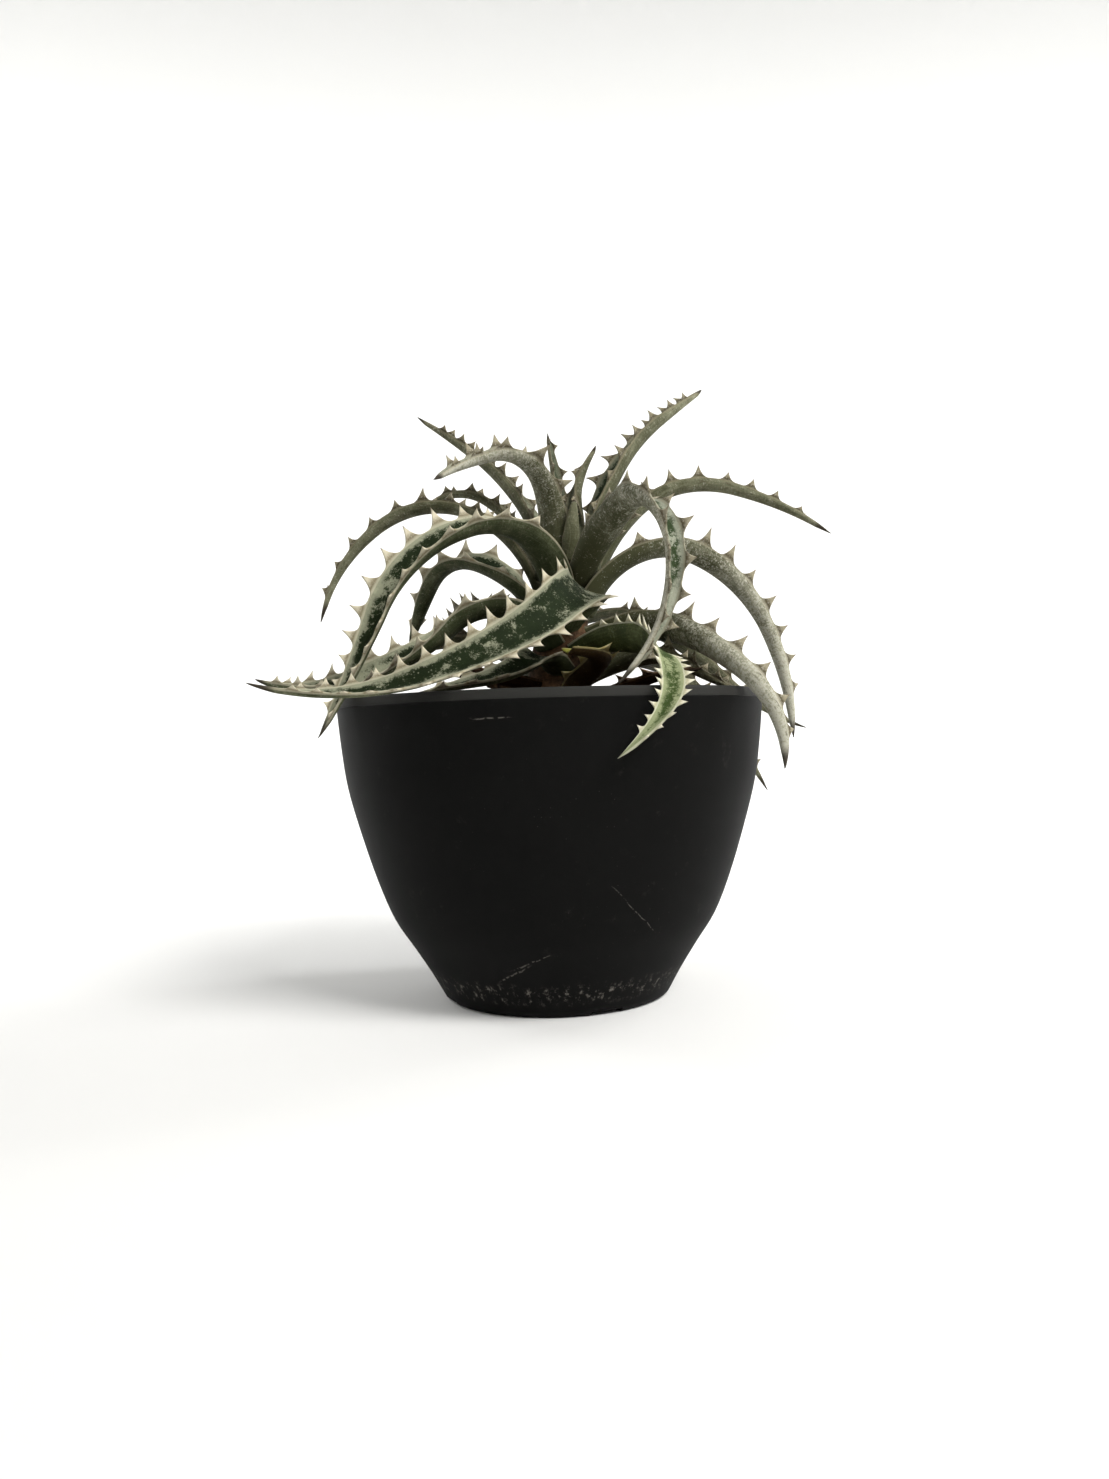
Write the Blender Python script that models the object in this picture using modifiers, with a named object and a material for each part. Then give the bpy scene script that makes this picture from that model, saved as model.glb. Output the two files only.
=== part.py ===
"""A dyckia bromeliad growing in a round plastic nursery pot."""
import math
import random

import bmesh
import bpy
from mathutils import Vector

# Driving sizes, in millimetres. The origin is the middle of the pot's base.
MM = 0.001
GAP = 0.3                      # clearance between pieces that touch

POT_HEIGHT = 87.0
RIM_RADIUS = 61.8
BAND_HEIGHT = 2.4              # slim lighter band round the rim
WALL = 1.8
FOOT_RADIUS = 33.7
FOOT_HEIGHT = 1.5              # ring that the pot stands on
FOOT_NOTCH = 9.0
PAD_RADIUS = 9.0               # flat pad under the middle of the pot
DRAIN_RADIUS = 4.0
DRAIN_CIRCLE = 19.0
DRAIN_COUNT = 6

SOIL_TOP = 77.5
STEM_HOLE_DEPTH = 18.0

STEM_FOOT = Vector((1.0, 0.0, 79.0))     # where the stem leaves the soil
STEM_HEAD = Vector((7.0, 0.0, 130.0))    # heart of the rosette
STEM_WIDE = 9.6
STEM_SLIM = 5.8

# Leaves stand on a spiral up the stem, one turn step apart.
SPIRAL_STEP = 137.5
SPIRAL_START = 297.0
SPIRAL_FOOT = 87.5
SPIRAL_RISE = 1.6
FOOT_GAP = 1.0                 # from the stem to the middle of a leaf's foot

LEAF_THICK = 2.6               # at the foot, thinner towards the tip
TIP_THICK = 0.8
TOOTH_PITCH = 10.0
TOOTH_ROOT = 2.3               # half of a tooth's width at the margin
TOOTH_LENGTH = 6.4

# Outer half-section of the pot, bottom to top (radius, height).
POT_SIDE = [(33.7, 2.0), (37.0, 7.9), (41.7, 15.4), (47.0, 23.7), (51.5, 34.8),
            (56.0, 49.2), (59.2, 61.7), (60.7, 72.5)]

# Each leaf: place on the spiral, length, flat width, then by thirds of its length the
# compass heading, the rise above level and the roll, and last the channel's half angle
# at its foot and at its tip. Angles are in degrees.
LEAVES = {
    "leaf_01": (1, 78, 12, (76, 82, 88, 90), (18, 12, -6, -25), (0, 0, 0, 0), (34, 60)),
    "leaf_02": (2, 36, 11, (-155, -157, -157, -160), (12, 8, 5, 0), (0, 0, 0, 0), (34, 50)),
    "leaf_03": (3, 50, 12, (-4, -38, -38, -20), (26, 6, -30, -22), (0, -20, -20, 0), (34, 60)),
    "leaf_04": (4, 82, 12, (122, 112, 104, 98), (24, 10, -6, -25), (0, 0, 0, 0), (34, 60)),
    "leaf_05": (5, 54, 13, (-110, -125, -150, -147), (25, -25, -10, -10), (0, -20, -20, 0), (30, 40)),
    "leaf_06": (6, 116, 12, (58, 52, 36, 12), (10, -6, -42, -62), (0, 0, 0, 0), (34, 64)),
    "leaf_07": (7, 52, 12, (172, 160, 145, 130), (30, 5, -8, -12), (0, 0, 0, 0), (34, 60)),
    "leaf_08": (8, 87, 13, (-56, -64, -92, -181), (6, -7, -41, -39), (0, -60, -18, -29), (30, 30)),
    "leaf_09": (9, 88, 13, (94, 90, 88, 86), (45, 18, -14, -42), (0, 0, 0, 0), (34, 64)),
    "leaf_10": (10, 91, 18, (-141, -168, -175, -195), (54, -41, -16, 19), (0, 4, -47, 16), (34, 60)),
    "leaf_11": (11, 88, 15, (-6, -67, -38, 22), (6, -12, -39, -95), (0, -55, -61, -48), (40, 66)),
    "leaf_12": (12, 74, 12, (145, 122, 112, 104), (38, 8, -10, -28), (0, 0, 0, 0), (34, 60)),
    "leaf_13": (13, 124, 16, (-56, -138, -181, -165), (35, -35, -17, 16), (0, -61, -54, 9), (30, 45)),
    "leaf_14": (14, 108, 12, (59, 41, 18, 0), (18, -16, -40, -22), (0, 0, 0, 0), (34, 64)),
    "leaf_15": (15, 66, 14, (197, 154, 131, 131), (59, 23, -44, -62), (0, -18, -10, 49), (40, 64)),
    "leaf_16": (16, 109, 14, (-26, 33, 18, 16), (64, -11, -62, -88), (0, -8, -4, -50), (40, 70)),
    "leaf_17": (17, 70, 10, (106, 136, 168, 175), (45, 62, 34, -46), (0, 0, 0, 0), (50, 60)),
    "leaf_18": (18, 110, 16, (-120, -157, -177, -192), (73, -16, -67, -57), (0, -13, -61, -49), (40, 62)),
    "leaf_19": (19, 100, 9, (37, 24, 1, -25), (66, 40, -17, -39), (0, -20, -25, -32), (45, 70)),
    "leaf_20": (20, 101, 8, (156, 160, 172, 198), (69, 25, -37, -79), (0, 3, 24, 28), (50, 70)),
    "leaf_21": (21, 102, 11, (-73, -69, -41, 20), (34, 16, -95, -139), (0, -54, 24, 15), (42, 66)),
    "leaf_22": (22, 50, 8, (80, 112, 130, 130), (60, 70, 78, 75), (0, 0, 0, 0), (50, 60)),
    "leaf_23": (23, 68, 14, (-134, -121, -151, -117), (112, 57, -19, -30), (0, -27, -10, 2), (45, 66)),
    "leaf_24": (24, 80, 12, (-8, 36, 33, 56), (90, 56, 37, 29), (0, -9, -19, -6), (50, 66)),
    "leaf_25": (25, 70, 10, (136, 147, 157, 164), (66, 52, 39, 34), (0, 17, 6, -12), (50, 66)),
    "leaf_26": (26, 14, 6, (-66, -50, -60, -70), (64, 84, 80, 70), (0, 0, 0, 0), (50, 60)),
    "leaf_27": (27, 34, 7, (118, 74, -10, 5), (48, 93, 70, 54), (0, 0, 0, 0), (50, 66)),
    "leaf_stub": (0, 38, 11, (-55, -62, -110, -150), (34, 22, 5, 0), (0, 0, 0, 0), (30, 40)),
    "dead_leaf": (-5, 42, 10, (-30, -38, -48, -45), (26, 15, 8, 0), (0, 0, 0, 0), (30, 30)),
}
# Tooth pitch of the leaves that are toothed more closely.
DENSE = {"leaf_08": 5.0, "leaf_10": 8.0, "leaf_13": 7.6, "leaf_18": 8.4}
BARE = {"leaf_26"}             # still folded in the heart, with no teeth yet
CUT = {"leaf_stub": 6.0}       # width at the end where the leaf was cut off

# Dried bases of the oldest leaves: places below the first leaf on the same spiral.
DEAD_BASES = (-1, -2, -3, -4, -6, -7)
DEAD_LENGTH = 17.0
DEAD_WIDTH = 9.0

for old in list(bpy.data.objects):
    bpy.data.objects.remove(old, do_unlink=True)

plant = bpy.data.collections.new("dyckia_in_pot")
cutters = bpy.data.collections.new("cutters")
for group in (plant, cutters):
    bpy.context.scene.collection.children.link(group)


def material(name, colour, roughness, metallic=0.0):
    found = bpy.data.materials.get(name)
    if found:
        return found
    made = bpy.data.materials.new(name)
    made.use_nodes = True
    shader = made.node_tree.nodes["Principled BSDF"]
    shader.inputs["Base Color"].default_value = (*colour, 1.0)
    shader.inputs["Roughness"].default_value = roughness
    shader.inputs["Metallic"].default_value = metallic
    return made


POT_BLACK = material("pot_plastic", (0.012, 0.012, 0.014), 0.42)
SOIL_BROWN = material("soil", (0.020, 0.011, 0.008), 0.95)
STEM_BROWN = material("stem", (0.060, 0.034, 0.018), 0.85)
LEAF_GREEN = material("leaf", (0.085, 0.098, 0.070), 0.55)
YOUNG_GREEN = material("young_leaf", (0.150, 0.230, 0.110), 0.50)
STUB_YELLOW = material("cut_leaf", (0.300, 0.290, 0.070), 0.50)
DEAD_BROWN = material("dried_leaf", (0.110, 0.060, 0.028), 0.85)


def place(name, mesh, look, group=plant):
    body = bpy.data.objects.new(name, mesh)
    if look:
        mesh.materials.clear()
        mesh.materials.append(look)
    group.objects.link(body)
    return body


def turned(name, profile, steps):
    """A closed half-section turned once round Z, as a Screw modifier."""
    mesh = bpy.data.meshes.new(name)
    points = [(r * MM, 0.0, z * MM) for r, z in profile]
    mesh.from_pydata(points, [(i, i + 1) for i in range(len(points) - 1)], [])
    body = place(name, mesh, None)
    screw = body.modifiers.new("turn", "SCREW")
    screw.steps = screw.render_steps = steps
    screw.use_merge_vertices = True
    screw.merge_threshold = 0.00005
    return body


def settle(body, look):
    """Turns a body's modifiers into plain mesh."""
    name, group = body.name, body.users_collection[0]
    bpy.context.view_layer.update()
    ready = body.evaluated_get(bpy.context.evaluated_depsgraph_get())
    mesh = bpy.data.meshes.new_from_object(ready)
    mesh.transform(body.matrix_world)
    bpy.data.objects.remove(body, do_unlink=True)
    return place(name, mesh, look, group)


# Pot: turned shell with a slim band at the rim, a foot ring and a raised floor.
def side_radius(height):
    side = POT_SIDE + [(RIM_RADIUS, POT_HEIGHT - BAND_HEIGHT)]
    for (r0, z0), (r1, z1) in zip(side, side[1:]):
        if height <= z1:
            break
    return r0 + (r1 - r0) * (height - z0) / (z1 - z0)


floor_low = FOOT_HEIGHT
floor_top = FOOT_HEIGHT + WALL
inner = [(side_radius(z) - WALL, z) for r, z in POT_SIDE[1:]]
profile = [(0.0, floor_top), (31.0, floor_top), (33.2, floor_top + 2.2)] + inner
profile += [(RIM_RADIUS - WALL, POT_HEIGHT - BAND_HEIGHT),
            (RIM_RADIUS - 0.6 - WALL, POT_HEIGHT - 0.5),
            (RIM_RADIUS - 0.1 - WALL, POT_HEIGHT),
            (RIM_RADIUS - 1.1, POT_HEIGHT), (RIM_RADIUS - 0.7, POT_HEIGHT - 0.4),
            (RIM_RADIUS - 0.4, POT_HEIGHT - BAND_HEIGHT),
            (RIM_RADIUS, POT_HEIGHT - BAND_HEIGHT - 0.4)]
profile += list(reversed(POT_SIDE))
profile += [(32.6, 0.3), (31.4, 0.0), (29.0, 0.0), (28.6, floor_low),
            (PAD_RADIUS + 0.8, floor_low), (PAD_RADIUS, 0.0), (0.0, 0.0)]
pot = turned("pot", profile, 40)
pot.data.materials.append(POT_BLACK)


def cutter_drum(name, radius, centre, height, turn=0.0):
    mesh = bpy.data.meshes.new(name)
    bm = bmesh.new()
    bmesh.ops.create_cone(bm, cap_ends=True, segments=12, radius1=radius * MM,
                          radius2=radius * MM, depth=height * MM)
    bm.to_mesh(mesh)
    bm.free()
    drum = place(name, mesh, None, cutters)
    drum.location = centre
    drum.rotation_euler.z = turn
    drum.hide_render = True
    drum.display_type = "WIRE"
    return drum


for index in range(DRAIN_COUNT):
    turn = math.tau * (index + 0.5) / DRAIN_COUNT
    centre = Vector((DRAIN_CIRCLE * math.cos(turn), DRAIN_CIRCLE * math.sin(turn), 2.5)) * MM
    cutter_drum("drain_cutter_%d" % index, DRAIN_RADIUS, centre, 8.0)
for index in range(4):
    turn = math.radians(-66.0 + 90.0 * index)
    mesh = bpy.data.meshes.new("notch_cutter_%d" % index)
    bm = bmesh.new()
    bmesh.ops.create_cube(bm, size=1.0)
    bmesh.ops.scale(bm, vec=(9.0 * MM, FOOT_NOTCH * MM, 2.6 * MM), verts=bm.verts)
    bm.to_mesh(mesh)
    bm.free()
    block = place("notch_cutter_%d" % index, mesh, None, cutters)
    block.location = Vector((32.0 * math.cos(turn), 32.0 * math.sin(turn), -0.05)) * MM
    block.rotation_euler.z = turn
    block.hide_render = True
    block.display_type = "WIRE"
cut = pot.modifiers.new("holes_and_notches", "BOOLEAN")
cut.operation = "DIFFERENCE"
cut.operand_type = "COLLECTION"
cut.collection = cutters
cut.solver = "EXACT"


# Soil: fills the pot to just under the rim, with an uneven top and a hole for the stem.
def ground(x, y):
    """Height of the soil's surface, in millimetres."""
    bumps = 0.9 * math.sin(0.31 * x + 1.0) * math.cos(0.27 * y) + 0.5 * math.sin(0.63 * x - 0.55 * y)
    near = max(0.0, 1.0 - math.hypot(x - 1.0, y) / 24.0)
    return SOIL_TOP + bumps + 1.6 * near


soil_side = [(side_radius(z) - WALL - GAP, z) for r, z in POT_SIDE[1:]]
hole_radius = STEM_WIDE + GAP
rings = [hole_radius, 15.0, 21.0, 28.0, 35.0, 43.0, 51.0]
profile = [(0.0, SOIL_TOP - STEM_HOLE_DEPTH), (hole_radius, SOIL_TOP - STEM_HOLE_DEPTH)]
profile += [(r, SOIL_TOP) for r in rings]
profile += [(side_radius(SOIL_TOP) - WALL - GAP, SOIL_TOP)]
profile += list(reversed(soil_side))
profile += [(32.8, floor_top + GAP + 2.0), (30.8, floor_top + GAP), (0.0, floor_top + GAP)]
soil = settle(turned("soil", profile, 40), SOIL_BROWN)
for vertex in soil.data.vertices:
    x, y, z = vertex.co / MM
    if abs(z - SOIL_TOP) < 0.01:
        vertex.co.z = ground(x, y) * MM
        vertex.co.x += STEM_FOOT.x * MM if math.hypot(x, y) < 12.0 else 0.0
    elif math.hypot(x, y) < 12.0 and z > 40.0:
        vertex.co.x += STEM_FOOT.x * MM


# Stem: a short leaning trunk with the dried bases of old leaves fused round its foot.
def stem_radius(height):
    share = min(max((height - STEM_FOOT.z) / (STEM_HEAD.z - STEM_FOOT.z), 0.0), 1.0)
    above = max(0.0, height - STEM_HEAD.z)
    return STEM_WIDE + (STEM_SLIM - STEM_WIDE) * share - 3.0 * above


def stem_middle(height):
    share = (height - STEM_FOOT.z) / (STEM_HEAD.z - STEM_FOOT.z)
    share = min(max(share, 0.0), 1.2)
    middle = STEM_FOOT.lerp(STEM_HEAD, share)
    return Vector((middle.x, middle.y, height))


def spiral(step):
    """Foot of a leaf on the stem's surface, and its compass angle."""
    height = SPIRAL_FOOT + SPIRAL_RISE * step
    angle = math.radians(SPIRAL_START + SPIRAL_STEP * step)
    return height, angle


def by_thirds(values, share):
    """Value along a leaf, running straight between its four given ones."""
    spot = min(max(share, 0.0), 1.0) * (len(values) - 1)
    low = min(int(spot), len(values) - 2)
    return values[low] + (values[low + 1] - values[low]) * (spot - low)


class Blade:
    """Centre line of a leaf with its cross-section: a channel open on its upper side."""

    def __init__(self, foot, length, width, heading, rise, roll, channel, end_width=0.6):
        self.length, self.width, self.end_width = length, width, end_width
        self.heading, self.rise, self.roll, self.channel = heading, rise, roll, channel
        self.steps = 120
        self.line = [foot.copy()]
        for index in range(self.steps):
            ahead = self.frame((index + 0.5) / self.steps)[0]
            self.line.append(self.line[-1] + ahead * (length / self.steps))

    def frame(self, share):
        turn = math.radians(by_thirds(self.heading, share))
        lift = math.radians(by_thirds(self.rise, share))
        roll = math.radians(by_thirds(self.roll, share))
        ahead = Vector((math.cos(lift) * math.cos(turn), math.cos(lift) * math.sin(turn),
                        math.sin(lift)))
        side = Vector((-math.sin(turn), math.cos(turn), 0.0))
        up = ahead.cross(side)
        return (ahead, side * math.cos(roll) + up * math.sin(roll),
                up * math.cos(roll) - side * math.sin(roll))

    def flat_width(self, share):
        wide = self.width * min(1.0, 0.70 + 1.6 * share) * max(1.0 - share, 0.0) ** 0.72
        return max(wide, self.end_width)

    def thickness(self, share):
        return TIP_THICK + (LEAF_THICK - TIP_THICK) * (1.0 - share) ** 0.8

    def point(self, along, across, depth=0.0, out=0.0):
        """A point on the blade: millimetres along, -1 to 1 across, depth of the under side,
        and how far it stands out past the margin."""
        share = along / self.length
        spot = min(max(share, 0.0), 1.0) * self.steps
        low = min(int(spot), self.steps - 1)
        middle = self.line[low].lerp(self.line[low + 1], spot - low)
        side, up = self.frame(share)[1:]
        opening = self.channel[0] + (self.channel[1] - self.channel[0]) * \
            min(max((share - 0.1) / 0.45, 0.0), 1.0)
        opening = math.radians(opening)
        bend = self.flat_width(share) / (2.0 * opening)
        angle = across * opening
        x = (bend + depth) * math.sin(angle) + math.copysign(out, across) * math.cos(angle)
        y = bend - (bend + depth) * math.cos(angle) + out * math.sin(abs(angle))
        return middle + side * x + up * y


# Across one section: margin, upper side, margin, under side (place, share of thickness).
SECTION = ((-1.0, 0.0), (-0.42, 0.0), (0.42, 0.0), (1.0, 0.0), (0.5, 1.0), (-0.5, 1.0))


def grow(name, blade, pitch, seed, first_tooth=0.20):
    """Extrudes a blade from its foot to its tip, section by section, with a tooth on each
    margin at every pitch."""
    draw = random.Random(seed)
    stations = [(0.0, 0.0, 0.0)]
    if pitch:
        along = blade.length * first_tooth
        while along < blade.length * 0.93:
            share = along / blade.length
            size = (1.0 - share) ** 0.38 * min(1.0, 0.6 + 1.8 * (share - first_tooth))
            size *= min(1.0, (blade.width / 15.0) ** 0.5) * min(1.0, pitch / TOOTH_PITCH + 0.2)
            half = TOOTH_ROOT * (0.5 + 0.5 * size) * min(1.0, pitch / TOOTH_PITCH + 0.1)
            reach = [TOOTH_LENGTH * size * draw.uniform(0.85, 1.2) for _ in range(2)]
            stations += [(along - half, 0.0, 0.0), (along, *reach), (along + half, 0.0, 0.0)]
            along += pitch * draw.uniform(0.9, 1.1) * (1.0 - 0.25 * share)
    else:
        stations += [(blade.length * s, 0.0, 0.0) for s in (0.15, 0.35, 0.55, 0.75)]
    stations.append((blade.length, 0.0, 0.0))
    first = stations[1][0]
    extra = max(1, int(first / 7.0))
    stations[1:1] = [(first * (i + 1) / (extra + 1), 0.0, 0.0) for i in range(extra)]
    shift = (-0.8, 0.8) if pitch else (0.0, 0.0)
    hook = draw.uniform(-0.9, 0.3)

    bm = bmesh.new()
    bmesh.ops.create_circle(bm, cap_ends=True, segments=len(SECTION), radius=1.0)
    cap = bm.faces[:][0]
    ring = list(cap.verts)
    rings = []
    for number, station in enumerate(stations):
        if number:
            grown = bmesh.ops.extrude_face_region(bm, geom=[cap])["geom"]
            fresh = [v for v in grown if isinstance(v, bmesh.types.BMVert)]
            behind, cap = cap, [f for f in grown if isinstance(f, bmesh.types.BMFace)][0]
            if number > 1 and behind.is_valid:
                bmesh.ops.delete(bm, geom=[behind], context="FACES_ONLY")
            ring = [min(fresh, key=lambda v: (v.co - old.co).length) for old in ring]
        along = station[0]
        edge = 0.0 < along < blade.length
        for spot, vertex in enumerate(ring):
            across, deep = SECTION[spot]
            reach, slide = 0.0, 0.0
            if spot in (0, 3) and edge:
                reach = station[1] if spot == 0 else station[2]
                slide = shift[0 if spot == 0 else 1] + (hook * reach / 4.0)
            depth = deep * blade.thickness(min(along / blade.length, 1.0))
            vertex.co = blade.point(along + slide, across, depth, reach) * MM
        rings.append((ring, station[1] > 0.0))
    # Each four-sided face is split the same way on the upper and the under side.
    count = len(SECTION)
    for (near, near_tip), (far, far_tip) in zip(rings, rings[1:]):
        for spot in range(count):
            after = (spot + 1) % count
            corners = (near[spot], near[after], far[after], far[spot])
            face = next(f for f in near[spot].link_faces if all(v in f.verts for v in corners))
            margin_first, margin_second = spot in (0, 3), after in (0, 3)
            if margin_first:
                pair = (near[after], far[spot]) if near_tip else (near[spot], far[after])
            elif margin_second:
                pair = (near[spot], far[after]) if near_tip else (near[after], far[spot])
            else:
                pair = (near[1], far[2]) if spot == 1 else (near[5], far[4])
            bmesh.utils.face_split(face, *pair)
    bmesh.ops.recalc_face_normals(bm, faces=bm.faces)
    mesh = bpy.data.meshes.new(name)
    bm.to_mesh(mesh)
    bm.free()
    return mesh


trunk = [(0.0, STEM_HEAD.z), (STEM_SLIM * 0.6, STEM_HEAD.z - 0.8), (STEM_SLIM, STEM_HEAD.z - 3.0)]
trunk += [(stem_radius(z), z) for z in (118.0, 108.0, 98.0, 88.0, STEM_FOOT.z)]
trunk += [(STEM_WIDE, 66.0), (STEM_WIDE - 1.6, 61.5), (0.0, 60.0)]
stem = settle(turned("stem", trunk, 16), STEM_BROWN)
for vertex in stem.data.vertices:
    vertex.co.x += stem_middle(vertex.co.z / MM).x * MM

old_bases = bpy.data.collections.new("old_leaf_bases")
bpy.context.scene.collection.children.link(old_bases)
for step in DEAD_BASES:
    height, angle = spiral(step)
    height = max(height, SOIL_TOP + 5.0)
    root = stem_middle(height) + Vector((math.cos(angle), math.sin(angle), 0.0)) * \
        (stem_radius(height) - 3.5)
    way = math.degrees(angle)
    blade = Blade(root, DEAD_LENGTH, DEAD_WIDTH, (way,) * 4, (30, 22, 12, 5), (0,) * 4,
                  (40, 45), 2.5)
    place("old_base_%d" % -step, grow("old_base", blade, 0.0, step), None, old_bases)
fuse = stem.modifiers.new("old_bases", "BOOLEAN")
fuse.operation = "UNION"
fuse.operand_type = "COLLECTION"
fuse.collection = old_bases
fuse.solver = "MANIFOLD"
stem = settle(stem, STEM_BROWN)
for old in list(old_bases.objects):
    bpy.data.objects.remove(old, do_unlink=True)
bpy.data.collections.remove(old_bases)

# Leaves: each a channelled, toothed blade that starts at the stem's surface.
LOOKS = {"leaf_08": YOUNG_GREEN, "leaf_stub": STUB_YELLOW, "dead_leaf": DEAD_BROWN,
         "leaf_02": DEAD_BROWN}
for number, (name, row) in enumerate(LEAVES.items()):
    step, length, width, heading, rise, roll, channel = row
    height, angle = spiral(step)
    height = max(height, SOIL_TOP + 6.0)
    root = stem_middle(height) + Vector((math.cos(angle), math.sin(angle), 0.0)) * \
        (stem_radius(height) + FOOT_GAP)
    blade = Blade(root, length, width, heading, rise, roll, channel, CUT.get(name, 0.6))
    pitch = 0.0 if name in BARE else DENSE.get(name, TOOTH_PITCH)
    place(name, grow(name, blade, pitch, 100 + number), LOOKS.get(name, LEAF_GREEN))

# Round pieces are shaded smooth, with their real edges kept sharp.
for body in plant.objects:
    body.data.shade_smooth()
    body.data.set_sharp_from_angle(angle=math.radians(35.0))
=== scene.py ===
import math
import random

import bmesh
import bpy
from mathutils import Matrix, Vector, noise


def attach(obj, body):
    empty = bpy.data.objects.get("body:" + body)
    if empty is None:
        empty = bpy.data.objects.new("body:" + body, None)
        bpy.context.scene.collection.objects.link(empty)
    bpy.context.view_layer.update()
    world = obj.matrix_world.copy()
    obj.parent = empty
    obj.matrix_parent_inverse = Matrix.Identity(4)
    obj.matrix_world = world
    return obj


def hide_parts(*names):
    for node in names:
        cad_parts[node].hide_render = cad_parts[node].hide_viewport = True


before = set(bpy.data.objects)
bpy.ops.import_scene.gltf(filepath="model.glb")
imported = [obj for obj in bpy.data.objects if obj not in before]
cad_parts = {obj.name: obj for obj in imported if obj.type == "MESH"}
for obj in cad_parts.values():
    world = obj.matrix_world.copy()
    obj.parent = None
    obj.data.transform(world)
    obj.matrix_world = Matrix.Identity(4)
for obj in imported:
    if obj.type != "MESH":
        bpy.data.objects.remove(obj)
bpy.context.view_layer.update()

# Pot: a thin round nursery pot, moulded in near-black satin plastic. It is one turned wall
# with a slim paler band at the rim, a foot ring with four notches and six drain holes, and
# it is scuffed round its foot and dusty all over.
MM = 0.001
POT_HEIGHT = 87.0
RIM_RADIUS = 61.8
BAND_HEIGHT = 2.4
WALL = 1.8
POT_FLOOR = 1.5
POT_SIDE = [(33.7, 2.0), (37.0, 7.9), (41.7, 15.4), (47.0, 23.7), (51.5, 34.8),
            (56.0, 49.2), (59.2, 61.7), (60.7, 72.5), (RIM_RADIUS, POT_HEIGHT - BAND_HEIGHT - 0.4)]
POT_SEGMENTS = 160
FOOT_INNER = 31.0              # inner edge of the ring that the pot stands on
SMOOTH_BELOW = 32.0            # edges blunter than this angle are shaded smooth
FLOOR_RADIUS = 30.5            # flat part of the floor, inside
DRAIN_RADIUS, DRAIN_CIRCLE, DRAIN_COUNT = 4.0, 19.0, 6
NOTCH_WIDTH, NOTCH_START, NOTCH_COUNT = 9.0, -66.0, 4
DRILL_DEPTH, DRILL_MIDDLE = 8.0, 2.5       # cylinder that cuts a drain hole
BLOCK_DEPTH, BLOCK_HEIGHT = 9.0, 2.6       # block that cuts a notch, across the foot ring
BLOCK_CIRCLE, BLOCK_MIDDLE = 32.0, -0.05


class Socket:
    """A node's output that arithmetic works on: each sum adds its own Math node."""

    def __init__(self, finish, link):
        self.finish, self.link = finish, link

    def sum(self, operation, *values):
        """One Math node over some values."""
        return self.finish.add("Math", {"operation": operation}, *values)

    def __add__(self, other):
        return self.sum("ADD", self, other)

    def __sub__(self, other):
        return self.sum("SUBTRACT", self, other)

    def __rsub__(self, other):
        return self.sum("SUBTRACT", other, self)

    def __mul__(self, other):
        return self.sum("MULTIPLY", self, other)

    def __truediv__(self, other):
        return self.sum("DIVIDE", self, other)

    __radd__, __rmul__ = __add__, __mul__


class Finish:
    """A material with one Principled shader, and short ways to add nodes to it."""

    def __init__(self, name, **numbers):
        self.material = bpy.data.materials.new(name)
        self.material.use_nodes = True
        self.nodes = self.material.node_tree.nodes
        self.shader = self.nodes["Principled BSDF"]
        for socket, value in numbers.items():
            self.shader.inputs[socket.replace("_", " ")].default_value = value

    def join(self, value, socket):
        """Links a socket to an input, or writes a number or a colour in it."""
        if isinstance(value, Socket):
            self.material.node_tree.links.new(value.link, socket)
        elif isinstance(value, tuple) and len(value) == 3 and len(socket.default_value) == 4:
            socket.default_value = (*value, 1.0)
        else:
            socket.default_value = value

    def add(self, kind, settings=None, *values, out=0, **named):
        """Adds a node: its type, its settings, and the values or links of its sockets, in
        their order, with None for one that is left alone, or by name."""
        node = self.nodes.new("ShaderNode" + kind)
        for key, value in (settings or {}).items():
            setattr(node, key, value)
        for index, value in enumerate(values):
            if value is not None:
                self.join(value, node.inputs[index])
        for key, value in named.items():
            self.join(value, node.inputs[key.replace("_", " ")])
        return Socket(self, node.outputs[out])

    def blend(self, share, first, second):
        """A colour between two: the first where share is 0 and the second where it is 1."""
        return self.add("Mix", {"data_type": "RGBA"}, share, *[None] * 5, first, second, out=2)

    def step(self, value, start, end):
        """Runs smoothly from 0 to 1 as value goes from start to end."""
        return self.add("MapRange", {"interpolation_type": "SMOOTHSTEP"}, value, start, end)

    def apart(self, vector):
        """The three numbers of a vector."""
        first = self.add("SeparateXYZ", None, vector)
        node = first.link.node
        return [Socket(self, node.outputs[index]) for index in range(3)]

    def spot(self, x, y, z=0.0):
        """A vector of three numbers."""
        return self.add("CombineXYZ", None, x, y, z)

    def cloud(self, vector, scale, detail=3.0, rough=0.6):
        """Soft noise between about 0.2 and 0.8."""
        return self.add("TexNoise", None, Vector=vector, Scale=scale, Detail=detail, Roughness=rough)

    def wear(self, colour, roughness, height=None, strength=0.3, distance=0.0002):
        """Puts a pattern's colour, roughness and relief on the shader."""
        self.join(colour, self.shader.inputs["Base Color"])
        self.join(roughness, self.shader.inputs["Roughness"])
        if height is not None:
            bump = self.add("Bump", None, Strength=strength, Distance=distance, Height=height)
            self.join(bump, self.shader.inputs["Normal"])
        return self.material


def linear(red, green, blue):
    """A colour given as 0 to 255 on a screen, as the shader's linear numbers."""
    return tuple(((v / 255 + 0.055) / 1.055) ** 2.4 if v > 10 else v / 255 / 12.92
                 for v in (red, green, blue))


def deselect():
    """Leaves nothing selected."""
    for piece in bpy.context.selected_objects:
        piece.select_set(False)


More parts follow.
